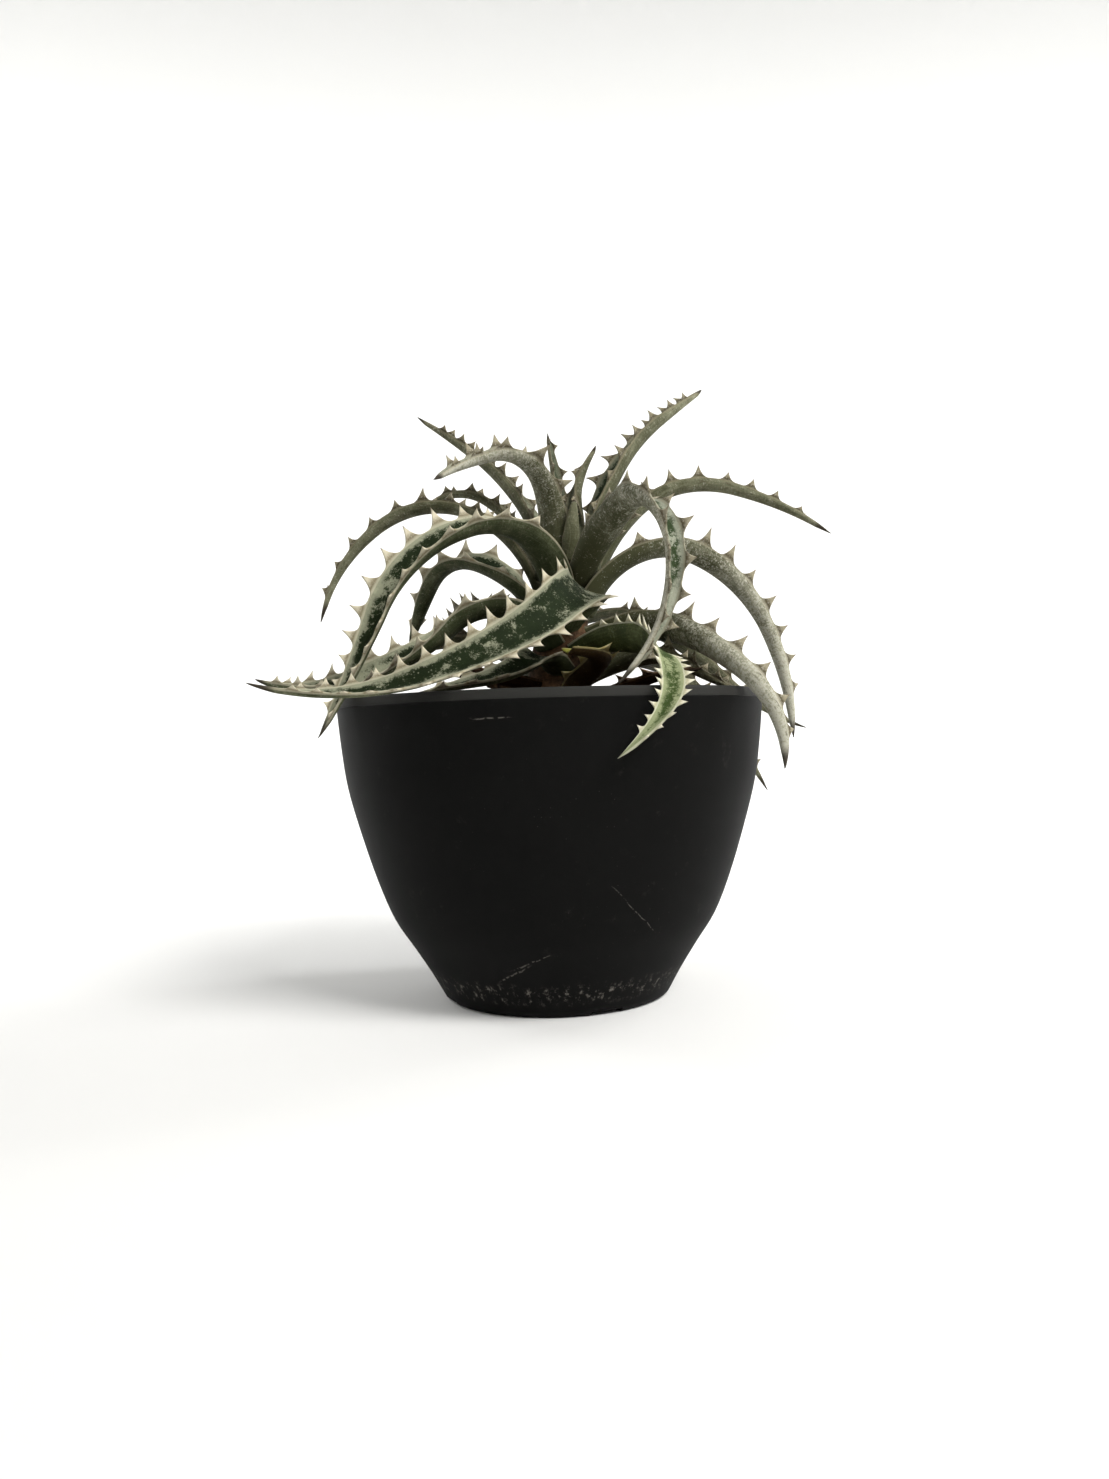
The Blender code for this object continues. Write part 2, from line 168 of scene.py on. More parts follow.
def turned(profile, segments):
    """A round body: a disc at a profile's first (radius, height) in millimetres, which is
    extruded and scaled through all the others."""
    deselect()
    radius, low = profile[0]
    bpy.ops.mesh.primitive_circle_add(vertices=segments, radius=radius * MM, fill_type="NGON",
                                      location=(0.0, 0.0, low * MM))
    body = bpy.context.object
    bpy.ops.object.mode_set(mode="EDIT")
    bpy.ops.mesh.select_all(action="SELECT")
    for (r0, z0), (r1, z1) in zip(profile, profile[1:]):
        bpy.ops.mesh.extrude_region_move(TRANSFORM_OT_translate={"value": (0, 0, (z1 - z0) * MM)})
        bpy.ops.transform.resize(value=(r1 / r0, r1 / r0, 1.0), center_override=(0, 0, z1 * MM))
    bpy.ops.mesh.select_all(action="DESELECT")
    bpy.ops.object.mode_set(mode="OBJECT")
    body.data.transform(body.matrix_world)
    body.matrix_world = Matrix.Identity(4)
    return body


def rounded(points, steps):
    """A smooth curve through the points of a profile."""
    ends = [points[0]] + points + [points[-1]]
    curve = []
    for a, b, c, d in zip(ends, ends[1:], ends[2:], ends[3:]):
        for index in range(steps):
            t = index / steps
            curve.append(tuple(
                0.5 * (2 * q + (r - p) * t + (2 * p - 5 * q + 4 * r - s) * t * t
                       + (3 * q - p - 3 * r + s) * t ** 3) for p, q, r, s in zip(a, b, c, d)))
    return curve + [points[-1]]


def apply_all(piece):
    """Applies a piece's modifiers, in their order."""
    deselect()
    piece.select_set(True)
    bpy.context.view_layer.objects.active = piece
    for modifier in list(piece.modifiers):
        bpy.ops.object.modifier_apply(modifier=modifier.name)


def hand_over(piece, name, finish, slot, *nodes):
    """Names a finished piece, gives it its material, and puts it in the frame."""
    piece.name = piece.data.name = name
    piece.data.materials.clear()
    piece.data.materials.append(finish)
    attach(piece, "root")
    if nodes:
        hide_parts(*nodes)


wall_in = [(r - WALL, z) for r, z in rounded(POT_SIDE[1:], 4)]
rim_line = POT_HEIGHT - BAND_HEIGHT
pot_profile = [(FOOT_INNER, 0.0), (31.5, 0.05), (32.2, 0.25), (33.0, 0.8)]
pot_profile += rounded(POT_SIDE, 4)
pot_profile += [(RIM_RADIUS - 0.1, rim_line - 0.25), (RIM_RADIUS - 0.38, rim_line - 0.1),
                (RIM_RADIUS - 0.42, rim_line + 0.2), (RIM_RADIUS - 0.6, POT_HEIGHT - 0.8),
                (RIM_RADIUS - 0.72, POT_HEIGHT - 0.35), (RIM_RADIUS - 0.95, POT_HEIGHT - 0.08),
                (RIM_RADIUS - 1.3, POT_HEIGHT), (RIM_RADIUS - 1.7, POT_HEIGHT - 0.08),
                (RIM_RADIUS - 1.95, POT_HEIGHT - 0.4), (RIM_RADIUS - WALL - 0.2, rim_line)]
pot_profile += list(reversed(wall_in)) + [(33.0, POT_FLOOR + WALL + 2.0),
                                          (32.0, POT_FLOOR + WALL + 0.5),
                                          (FLOOR_RADIUS, POT_FLOOR + WALL)]

pot = turned(pot_profile, POT_SEGMENTS)
# The raised floor under the pot: the first face is drawn in and pushed up, leaving the foot ring.
for face in pot.data.polygons:
    face.select = len(face.vertices) > 4 and face.center.z < 0.001
bpy.ops.object.mode_set(mode="EDIT")
for drawn_in, pushed in ((1.9, 0.0), (0.5, POT_FLOOR)):
    bpy.ops.mesh.inset(thickness=drawn_in * MM, depth=-pushed * MM)
bpy.ops.object.mode_set(mode="OBJECT")

cutters = []
for index in range(DRAIN_COUNT):
    turn = math.tau * (index + 0.5) / DRAIN_COUNT
    place = (DRAIN_CIRCLE * MM * math.cos(turn), DRAIN_CIRCLE * MM * math.sin(turn), DRILL_MIDDLE * MM)
    bpy.ops.mesh.primitive_cylinder_add(vertices=40, radius=DRAIN_RADIUS * MM,
                                        depth=DRILL_DEPTH * MM, location=place)
    cutters.append(bpy.context.object)
for index in range(NOTCH_COUNT):
    turn = math.radians(NOTCH_START + 360.0 / NOTCH_COUNT * index)
    place = (BLOCK_CIRCLE * MM * math.cos(turn), BLOCK_CIRCLE * MM * math.sin(turn), BLOCK_MIDDLE * MM)
    bpy.ops.mesh.primitive_cube_add(size=1.0, location=place, rotation=(0.0, 0.0, turn))
    bpy.context.object.scale = (BLOCK_DEPTH * MM, NOTCH_WIDTH * MM, BLOCK_HEIGHT * MM)
    bpy.context.view_layer.update()
    cutters.append(bpy.context.object)
for cutter in cutters:
    cut = pot.modifiers.new("cut", "BOOLEAN")
    cut.operation, cut.object, cut.solver = "DIFFERENCE", cutter, "EXACT"
apply_all(pot)
for cutter in cutters:
    bpy.data.objects.remove(cutter, do_unlink=True)
deselect()
pot.select_set(True)
bpy.ops.object.shade_smooth_by_angle(angle=math.radians(SMOOTH_BELOW))

plastic = Finish("pot_plastic", Specular_IOR_Level=0.06)
place = plastic.add("TexCoord", out=3)
x, y, z = plastic.apart(place)
round_pot = plastic.add("Math", {"operation": "ARCTAN2"}, x, 0.0 - y)
height = z / MM
MID_RADIUS = 50.0              # turns an angle round the wall into millimetres along it
wall_spot = plastic.spot(round_pot * MID_RADIUS, height)
haze = plastic.cloud(place, 28.0, 4.0)
speck = plastic.add("TexVoronoi", {"feature": "F1"}, Vector=place, Scale=520.0)
grain = plastic.cloud(place, 2600.0, 2.0)
foot_rub = plastic.step(height, 3.0, 6.5) * (1.0 - plastic.step(height, 7.5, 11.0))
foot_rub = foot_rub * plastic.step(plastic.cloud(wall_spot, 0.42, 6.0, 0.75), 0.52, 0.66)
dust = plastic.step(plastic.cloud(place, 190.0, 5.0, 0.7), 0.6, 0.8) * 0.25
dust = dust + (1.0 - plastic.step(speck, 0.03, 0.09)) * plastic.step(haze, 0.5, 0.62) * 0.5


def scratch(turn, low, run, slope, width):
    """A fine scratch on the wall: its middle, how far it runs, its slope and its width."""
    across = (round_pot - math.radians(turn)) * MID_RADIUS
    wobble = (plastic.cloud(wall_spot, 0.11, 2.0) - 0.5) * 3.0
    off = plastic.add("Math", {"operation": "ABSOLUTE"}, height - low - across * slope - wobble)
    along = plastic.add("Math", {"operation": "ABSOLUTE"}, across)
    broken = plastic.step(plastic.cloud(wall_spot, 0.9, 3.0), 0.42, 0.56)
    mark = (1.0 - plastic.step(off, width * 0.4, width)) * (1.0 - plastic.step(along, run * 0.5, run))
    return mark * broken


scratches = scratch(-16.0, 13.5, 7.0, 0.45, 0.35) + scratch(-9.0, 17.0, 8.0, 0.38, 0.3)
scratches = scratches + scratch(-13.0, 80.0, 5.0, 0.02, 0.25) + scratch(25.0, 30.0, 9.0, -0.9, 0.22)
band = plastic.step(height, rim_line - 0.25, rim_line)
dark = plastic.blend(haze, linear(7, 7, 7), linear(15, 15, 14))
dark = plastic.blend(band * 0.9, dark, linear(46, 46, 44))
worn = plastic.add("Math", {"operation": "MINIMUM"}, foot_rub * 0.4 + scratches * 0.22 + dust * 0.18, 1.0)
colour = plastic.blend(worn, dark, linear(150, 145, 136))
relief = grain * 0.5 + haze * 0.6 - scratches * 0.5
hand_over(pot, "nursery_pot", plastic.wear(colour, 0.56 + haze * 0.12 + worn * 0.25, relief, 0.25),
          "pot_plastic", "pot")


# Soil: a coarse potting mix that fills the pot to just under its rim. Its top is uneven, with
# flakes of bark, darker crumbs and a few pale grains of pumice pressed into it.
SOIL_TOP = 77.5
GAP = 0.3                      # from the pot's wall to the soil
SOIL_SEGMENTS = 120
STEM_FOOT = Vector((1.0, 0.0, 79.0))       # where the stem leaves the soil


def side_radius(height):
    """The pot's outer radius at a height."""
    for (r0, z0), (r1, z1) in zip(POT_SIDE, POT_SIDE[1:]):
        if height <= z1:
            break
    return r0 + (r1 - r0) * (height - z0) / (z1 - z0)


def ground(x, y):
    """Height of the soil's surface, in millimetres."""
    bumps = 0.9 * math.sin(0.31 * x + 1.0) * math.cos(0.27 * y) + 0.5 * math.sin(0.63 * x - 0.55 * y)
    near = max(0.0, 1.0 - math.hypot(x - STEM_FOOT.x, y) / 24.0)
    return SOIL_TOP + bumps + 1.6 * near


soil_edge = side_radius(SOIL_TOP) - WALL - GAP
soil_profile = [(FLOOR_RADIUS, POT_FLOOR + WALL + GAP), (32.4, POT_FLOOR + WALL + GAP + 2.0)]
soil_profile += [(r - WALL - GAP, z) for r, z in POT_SIDE[1:-1]] + [(soil_edge, SOIL_TOP)]
soil_profile += [(soil_edge * (1.0 - share / 48), SOIL_TOP) for share in range(1, 48)]
soil = turned(soil_profile, SOIL_SEGMENTS)
for vertex in soil.data.vertices:
    sx, sy, sz = vertex.co / MM
    if abs(sz - SOIL_TOP) < 0.01:
        crumb = 0.9 * noise.noise(Vector((sx, sy, 3.0)) * 0.55)
        crumb += 0.5 * noise.noise(Vector((sx, sy, 9.0)) * 1.7)
        vertex.co.z = (ground(sx, sy) + crumb) * MM
        reach = math.hypot(sx, sy)
        if 2.0 < reach < soil_edge - 1.0:
            sway = noise.noise(Vector((sx, sy, 21.0)) * 0.9) * 0.5
            vertex.co.x += sway * MM * sx / reach
            vertex.co.y += sway * MM * sy / reach
soil.data.shade_smooth()

mix = Finish("potting_mix", Specular_IOR_Level=0.2)
place = mix.add("TexCoord", out=3)
lumps = mix.add("TexVoronoi", {"feature": "F1"}, Vector=place, Scale=420.0)
fine = mix.cloud(place, 900.0, 6.0, 0.7)
earth = mix.blend(fine, linear(18, 12, 9), linear(66, 48, 34))
earth = mix.blend(mix.step(lumps, 0.2, 0.7) * 0.5, earth, linear(20, 13, 9))
hand_over(soil, "potting_soil", mix.wear(earth, 0.95, fine + lumps, 0.8, 0.0006), "potting_soil", "soil")


def strew(name, count, seed, size, flatness, finish, slot):
    """Copies of one rough flake, each turned and squeezed its own way, pressed into the soil."""
    deselect()
    bpy.ops.mesh.primitive_ico_sphere_add(subdivisions=2, radius=1.0)
    flake = bpy.context.object
    bpy.ops.object.mode_set(mode="EDIT")
    bpy.ops.mesh.select_all(action="SELECT")
    bpy.ops.transform.resize(value=(1.0, 0.62, flatness))
    bpy.ops.object.mode_set(mode="OBJECT")
    draw = random.Random(seed)
    heap = bmesh.new()
    for _ in range(count):
        turn, reach = draw.uniform(0.0, math.tau), soil_edge * math.sqrt(draw.uniform(0.05, 0.93))
        fx, fy = reach * math.cos(turn), reach * math.sin(turn)
        grown = size * draw.uniform(0.5, 1.35)
        copy = flake.data.copy()
        shift = Vector([draw.uniform(0.0, 90.0) for _ in range(3)])
        for vertex in copy.vertices:
            vertex.co *= 1.0 + 0.55 * noise.noise(vertex.co * 1.3 + shift)
        tilt = Matrix.Rotation(draw.uniform(0, math.tau), 4, "Z")
        for axis in "XY":
            tilt = tilt @ Matrix.Rotation(draw.uniform(-0.5, 0.5), 4, axis)
        level = ground(fx, fy) + 0.25 * grown * flatness + draw.uniform(-0.1, 0.5)
        lower = Matrix.Translation(Vector((fx, fy, level)) * MM)
        copy.transform(lower @ tilt @ Matrix.Scale(grown * MM, 4))
        heap.from_mesh(copy)
        bpy.data.meshes.remove(copy)
    heap.to_mesh(flake.data)
    heap.free()
    hand_over(flake, name, finish, slot)


def crumb_finish(name, dark, light, scale):
    """Finish of one kind of crumb: its darkest and lightest tones and the size of its grain."""
    look = Finish(name, Specular_IOR_Level=0.25)
    place = look.add("TexCoord", out=3)
    grain = look.cloud(place, scale, 5.0, 0.7)
    patch = look.cloud(place, 160.0, 2.0)
    tone = look.blend(look.step(grain * 0.5 + patch * 0.7, 0.35, 0.85), dark, light)
    return look.wear(tone, 0.9, grain, 0.6, 0.0003)


strew("bark_flakes", 330, 11, 2.6, 0.34,
      crumb_finish("bark", linear(28, 17, 11), linear(112, 78, 52), 1500.0), "potting_soil")
strew("soil_crumbs", 520, 12, 1.3, 0.8,
      crumb_finish("crumbs", linear(16, 11, 8), linear(62, 46, 34), 1900.0), "potting_soil")
strew("pumice_grains", 70, 13, 1.5, 0.8,
      crumb_finish("pumice", linear(128, 120, 108), linear(206, 200, 188), 2200.0), "potting_soil")


# Leaves: stiff channelled blades that stand on a spiral round the stem, each toothed on both
# margins. A leaf is one solid of its own, olive grey with rows of scales underneath, dark green
# and mottled with scurf on the channel side, with a thin horny line along its margins.
STEM_HEAD = Vector((7.0, 0.0, 130.0))      # heart of the rosette
STEM_WIDE, STEM_SLIM = 9.6, 5.8
SPIRAL_STEP, SPIRAL_START = 137.5, 297.0
SPIRAL_FOOT, SPIRAL_RISE = 87.5, 1.6
FOOT_GAP = 1.0                 # from the stem to the middle of a leaf's foot
FOOT_SINK = 3.2                # how far a leaf's foot reaches into the stem
FOOT_LOWEST = 6.0              # lowest that the middle of a foot stands above the soil
LEAF_THICK, TIP_THICK = 2.6, 0.8
TOOTH_PITCH, TOOTH_ROOT, TOOTH_LENGTH = 10.0, 2.3, 6.4
TEETH_FROM, TEETH_TO = 0.20, 0.93          # shares of a leaf's length that bear teeth
# Places across a section from margin to margin, closer together near both.
ACROSS = (-1.0, -0.965, -0.9, -0.8, -0.66, -0.45, -0.22, 0.0, 0.22, 0.45, 0.66, 0.8, 0.9, 0.965, 1.0)
HORN_ROWS = 5                  # rows of points from the margin to a tooth's tip
LIP = 0.14                     # horny lip between the teeth
FLANK_RUN = 2.1                # a tooth's flanks run out this many half widths along the margin
FLANK_CURVE = 3.2              # how hollow the flanks are
RIM_SHARE, RIM_MOST = 0.3, 0.5  # thickness of the margin, as a share of the blade's and at most
ROW_GAP, TIP_ROW_GAP = 0.9, 0.5            # between sections towards the foot and towards the tip
LEAF_SEED, TWIST_SEED = 100, 1000

# Each leaf: place on the spiral, length, flat width, then by thirds of its length the
# compass heading, the rise above level and the roll, and last the channel's half angle
# at its foot and at its tip. Angles are in degrees and sizes in millimetres.
LEAVES = {
    "leaf_01": (1, 78, 12, (76, 82, 88, 90), (18, 12, -6, -25), (0, 0, 0, 0), (34, 60)),
    "leaf_02": (2, 36, 11, (-155, -157, -157, -160), (12, 8, 5, 0), (0, 0, 0, 0), (34, 50)),
    "leaf_03": (3, 50, 12, (-4, -38, -38, -20), (26, 6, -30, -22), (0, -20, -20, 0), (34, 60)),
    "leaf_04": (4, 82, 12, (122, 112, 104, 98), (24, 10, -6, -25), (0, 0, 0, 0), (34, 60)),
    "leaf_05": (5, 54, 13, (-110, -125, -150, -147), (25, -25, -10, -10), (0, -20, -20, 0), (30, 40)),
    "leaf_06": (6, 116, 12, (58, 52, 36, 12), (10, -6, -42, -62), (0, 0, 0, 0), (34, 64)),
    "leaf_07": (7, 52, 12, (172, 160, 145, 130), (30, 5, -8, -12), (0, 0, 0, 0), (34, 60)),
    "leaf_08": (8, 87, 13, (-56, -64, -92, -181), (6, -7, -41, -39), (0, -60, -18, -29), (30, 30)),
    "leaf_09": (9, 88, 13, (94, 90, 88, 86), (45, 18, -14, -42), (0, 0, 0, 0), (34, 64)),
    "leaf_10": (10, 91, 18, (-141, -168, -175, -195), (54, -41, -16, 19), (0, 4, -47, 16), (34, 60)),
    "leaf_11": (11, 88, 15, (-6, -67, -38, 22), (6, -12, -39, -95), (0, -55, -61, -48), (40, 66)),
    "leaf_12": (12, 74, 12, (145, 122, 112, 104), (38, 8, -10, -28), (0, 0, 0, 0), (34, 60)),
    "leaf_13": (13, 124, 16, (-56, -138, -181, -165), (35, -35, -17, 16), (0, -61, -54, 9), (30, 45)),
    "leaf_14": (14, 108, 12, (59, 41, 18, 0), (18, -16, -40, -22), (0, 0, 0, 0), (34, 64)),
    "leaf_15": (15, 66, 14, (197, 154, 131, 131), (59, 23, -44, -62), (0, -18, -10, 49), (40, 64)),
    "leaf_16": (16, 109, 14, (-26, 33, 18, 16), (64, -11, -62, -88), (0, -8, -4, -50), (40, 70)),
    "leaf_17": (17, 70, 10, (106, 136, 168, 175), (45, 62, 34, -46), (0, 0, 0, 0), (50, 60)),
    "leaf_18": (18, 110, 16, (-120, -157, -177, -192), (73, -16, -67, -57), (0, -13, -61, -49), (40, 62)),
    "leaf_19": (19, 100, 9, (37, 24, 1, -25), (66, 40, -17, -39), (0, -20, -25, -32), (45, 70)),
    "leaf_20": (20, 101, 8, (156, 160, 172, 198), (69, 25, -37, -79), (0, 3, 24, 28), (50, 70)),
    "leaf_21": (21, 102, 11, (-73, -69, -41, 20), (34, 16, -95, -139), (0, -54, 24, 15), (42, 66)),
    "leaf_22": (22, 50, 8, (80, 112, 130, 130), (60, 70, 78, 75), (0, 0, 0, 0), (50, 60)),
    "leaf_23": (23, 68, 14, (-134, -121, -151, -117), (112, 57, -19, -30), (0, -27, -10, 2), (45, 66)),
    "leaf_24": (24, 80, 12, (-8, 36, 33, 56), (90, 56, 37, 29), (0, -9, -19, -6), (50, 66)),
    "leaf_25": (25, 70, 10, (136, 147, 157, 164), (66, 52, 39, 34), (0, 17, 6, -12), (50, 66)),
    "leaf_26": (26, 14, 6, (-66, -50, -60, -70), (64, 84, 80, 70), (0, 0, 0, 0), (50, 60)),
    "leaf_27": (27, 34, 7, (118, 74, -10, 5), (48, 93, 70, 54), (0, 0, 0, 0), (50, 66)),
    "leaf_stub": (0, 38, 11, (-55, -62, -110, -150), (34, 22, 5, 0), (0, 0, 0, 0), (30, 40)),
    "dead_leaf": (-5, 42, 10, (-30, -38, -48, -45), (26, 15, 8, 0), (0, 0, 0, 0), (30, 30)),
}
DENSE = {"leaf_08": 5.0, "leaf_10": 8.0, "leaf_13": 7.6, "leaf_18": 8.4}  # closer tooth pitches
BARE = {"leaf_26"}             # still folded in the heart, with no teeth yet
CUT = {"leaf_stub": 6.0}       # width at the end where the leaf was cut off


def stem_radius(height):
    """The stem's radius at a height."""
    share = min(max((height - STEM_FOOT.z) / (STEM_HEAD.z - STEM_FOOT.z), 0.0), 1.0)
    above = max(0.0, height - STEM_HEAD.z)
    return STEM_WIDE + (STEM_SLIM - STEM_WIDE) * share - 3.0 * above


def stem_middle(height):
    """The middle of the leaning stem at a height."""
    share = min(max((height - STEM_FOOT.z) / (STEM_HEAD.z - STEM_FOOT.z), 0.0), 1.2)
    middle = STEM_FOOT.lerp(STEM_HEAD, share)
    return Vector((middle.x, middle.y, height))


def spiral(step):
    """Height and compass angle of a leaf's foot on the stem."""
    return SPIRAL_FOOT + SPIRAL_RISE * step, math.radians(SPIRAL_START + SPIRAL_STEP * step)


def on_stem(height, angle, out):
    """A place a little out from the stem's surface."""
    away = Vector((math.cos(angle), math.sin(angle), 0.0))
    return stem_middle(height) + away * (stem_radius(height) + out)


def by_thirds(values, share):
    """Value along a leaf, running straight between its four given ones."""
    spot = min(max(share, 0.0), 1.0) * (len(values) - 1)
    low = min(int(spot), len(values) - 2)
    return values[low] + (values[low + 1] - values[low]) * (spot - low)


class Blade:
    """Centre line of a leaf with its cross-section: a channel open on its upper side."""

    def __init__(self, foot, length, width, heading, rise, roll, channel, end_width=0.0):
        self.length, self.width, self.end_width = length, width, end_width
        self.heading, self.rise, self.roll, self.channel = heading, rise, roll, channel
        self.steps = 240
        self.line = [foot.copy()]
        for index in range(self.steps):
            ahead = self.frame((index + 0.5) / self.steps)[0]
            self.line.append(self.line[-1] + ahead * (length / self.steps))

    def frame(self, share):
        """Directions ahead, to the side and up at a share of the length."""
        turn = math.radians(by_thirds(self.heading, share))
        lift = math.radians(by_thirds(self.rise, share))
        roll = math.radians(by_thirds(self.roll, share))
        ahead = Vector((math.cos(lift) * math.cos(turn), math.cos(lift) * math.sin(turn),
                        math.sin(lift)))
        side = Vector((-math.sin(turn), math.cos(turn), 0.0))
        up = ahead.cross(side)
        return (ahead, side * math.cos(roll) + up * math.sin(roll),
                up * math.cos(roll) - side * math.sin(roll))

    def flat_width(self, share):
        """Width from margin to margin along the section."""
        wide = self.width * min(1.0, 0.70 + 1.6 * max(share, 0.0)) * max(1.0 - share, 0.0) ** 0.72
        return max(wide, self.end_width, 0.08)

    def thickness(self, share):
        """Thickness at the keel, thinning to the tip."""
        thick = TIP_THICK + (LEAF_THICK - TIP_THICK) * (1.0 - min(max(share, 0.0), 1.0)) ** 0.8
        return thick if self.end_width else thick * min(1.0, (max(1.0 - share, 0.0) / 0.06) ** 0.6 + 0.06)

    def place(self, along):
        """Middle, side and up at a distance along, and the channel's half angle there."""
        share = along / self.length
        spot = min(max(share, 0.0), 1.0) * self.steps
        low = min(int(spot), self.steps - 1)
        middle = self.line[low].lerp(self.line[low + 1], spot - low)
        ahead, side, up = self.frame(share)
        if along < 0.0:
            middle = middle + ahead * along
        opening = self.channel[0] + (self.channel[1] - self.channel[0]) * \
            min(max((share - 0.1) / 0.45, 0.0), 1.0)
        return middle, side, up, math.radians(opening)


def tooth_row(blade, pitch, seed):
    """Teeth along the margins, each its middle, half width and reach left and right, and
    how far they all hook back towards the foot."""
    draw = random.Random(seed)
    row = []
    along = blade.length * TEETH_FROM
    while pitch and along < blade.length * TEETH_TO:
        share = along / blade.length
        size = (1.0 - share) ** 0.38 * min(1.0, 0.6 + 1.8 * (share - TEETH_FROM))
        size *= min(1.0, (blade.width / 15.0) ** 0.5) * min(1.0, pitch / TOOTH_PITCH + 0.2)
        half = TOOTH_ROOT * (0.5 + 0.5 * size) * min(1.0, pitch / TOOTH_PITCH + 0.1)
        row.append((along, half, *[TOOTH_LENGTH * size * draw.uniform(0.85, 1.2) for _ in range(2)]))
        along += pitch * draw.uniform(0.9, 1.1) * (1.0 - 0.25 * share)
    return row, draw.uniform(-0.9, 0.3)


def leaf_stations(blade, row):
    """Distances along a leaf where its section is laid, crowded at the middle of each tooth."""
    middles = [tooth[0] for tooth in row] or [blade.length * 0.5]
    stations = [-FOOT_SINK]
    while stations[-1] < middles[0] - 1.0:
        stations.append(stations[-1] + ROW_GAP)
    stations.pop()
    for start, end in zip(middles, middles[1:]):
        count = 16 if end - start > 6.0 else 12
        for index in range(count):
            share = index / count
            stations.append(start + (end - start) * share * share * (3.0 - 2.0 * share))
    last = middles[-1]
    count = max(8, int((blade.length - last) / TIP_ROW_GAP))
    return stations + [last + (blade.length - last) * (i / count) ** 1.25 for i in range(count + 1)]


def leaf_mesh(name, blade, pitch, seed):
    """The leaf's skin, with its attributes: spot is millimetres along, millimetres across and
    under side or upper; edge is the distance in from the margin, how far up a tooth, and the
    nearness to a tooth's root; share is the place between foot and tip."""
    row, hook = tooth_row(blade, pitch, seed)
    draw = random.Random(seed + TWIST_SEED)
    twist = [(draw.uniform(-0.5, 0.5), draw.uniform(-0.5, 0.5)) for _ in row]
    ring_size = 2 * len(ACROSS) + 2 * (2 * HORN_ROWS - 1)
    points, spots, edges, shares, rings = [], [], [], [], 0
    for along in leaf_stations(blade, row):
        share = along / blade.length
        middle, side, up, opening = blade.place(along)
        ahead = side.cross(up)
        width = blade.flat_width(share)
        thick = blade.thickness(share)
        bend = width / (2.0 * opening)
        rim = min(RIM_SHARE * thick, RIM_MOST)
        reach, tallest, curl, root = [LIP, LIP], [LIP, LIP], [0.0, 0.0], [0.0, 0.0]
        for number, (centre, half, left, right) in enumerate(row):
            off = abs(along - centre) / (half * FLANK_RUN)
            if off < 1.0:
                for index, tall in enumerate((left, right)):
                    reach[index] = max(LIP, tall * (0.92 * (1.0 - off) ** FLANK_CURVE + 0.08 * (1.0 - off)))
                    tallest[index], curl[index] = tall, twist[number][index]
                    root[index] = (1.0 - off) ** 1.5
        lip_size = min(1.0, width / 3.0)

        def lay(across, depth, out, index, under, horn):
            """One point of the section, out past margin number index."""
            slide = (-0.8, 0.8)[index] * abs(across) ** 3 if row and 0.0 < along < blade.length else 0.0
            lean = min(out / tallest[index], 1.0)
            slide += hook * tallest[index] / 4.0 * lean ** 1.6 if out > LIP else 0.0
            depth += curl[index] * lean ** 1.5 if out > LIP else 0.0
            angle = across * opening
            px = (bend + depth) * math.sin(angle) + math.copysign(out, across) * math.cos(angle)
            py = bend - (bend + depth) * math.cos(angle) + out * math.sin(abs(angle))
            points.append((middle + side * px + up * py + ahead * slide) * MM)
            arc = across * width / 2.0 + math.copysign(out, across)
            spots.append((along, arc, under))
            edges.append(((1.0 - abs(across)) * width / 2.0 - out, horn, root[index]))
            shares.append(share)

        def swell(across):
            """Depth of the under side below the upper one."""
            return rim + (thick - rim) * (1.0 - abs(across) ** 2.6)

        for across in ACROSS:
            lay(across, 0.0, 0.0, int(across > 0.0), 0.0, 0.0)
        for index, sign in ((1, 1.0), (0, -1.0)):
            heights = [level / HORN_ROWS for level in range(1, HORN_ROWS + 1)]
            strip = [(level, 0.0) for level in heights[:-1]] + [(1.0, 0.5)]
            strip += [(level, 1.0) for level in reversed(heights[:-1])]
            strip = strip if index else [(level, 1.0 - low) for level, low in strip]
            for level, low in strip:
                out = reach[index] * lip_size * level if reach[index] <= LIP else reach[index] * level
                thin = (rim + 0.5 * min(out, 0.8)) * (1.0 - 0.9 * (out / max(tallest[index], 0.5)) ** 0.9)
                lay(sign, rim / 2.0 + (low - 0.5) * thin, out, index, low,
                    min(out / max(tallest[index], 1.0), 1.0))
            if index:
                for across in reversed(ACROSS):
                    lay(across, swell(across), 0.0, int(across > 0.0), 1.0, 0.0)
        rings += 1
    faces = []
    for ring in range(rings - 1):
        near, far = ring * ring_size, (ring + 1) * ring_size
        for spot in range(ring_size):
            after = (spot + 1) % ring_size
            faces.append((near + spot, far + spot, far + after, near + after))
    last = (rings - 1) * ring_size
    faces.append(tuple(range(ring_size)))
    faces.append(tuple(last + spot for spot in reversed(range(ring_size))))
    mesh = bpy.data.meshes.new(name)
    mesh.from_pydata(points, [], faces)
    for label, kind, values in (("spot", "FLOAT_VECTOR", spots), ("edge", "FLOAT_VECTOR", edges)):
        layer = mesh.attributes.new(label, kind, "POINT")
        layer.data.foreach_set("vector", [number for value in values for number in value])
    layer = mesh.attributes.new("share", "FLOAT", "POINT")
    layer.data.foreach_set("value", shares)
    mesh.shade_smooth()
    return mesh


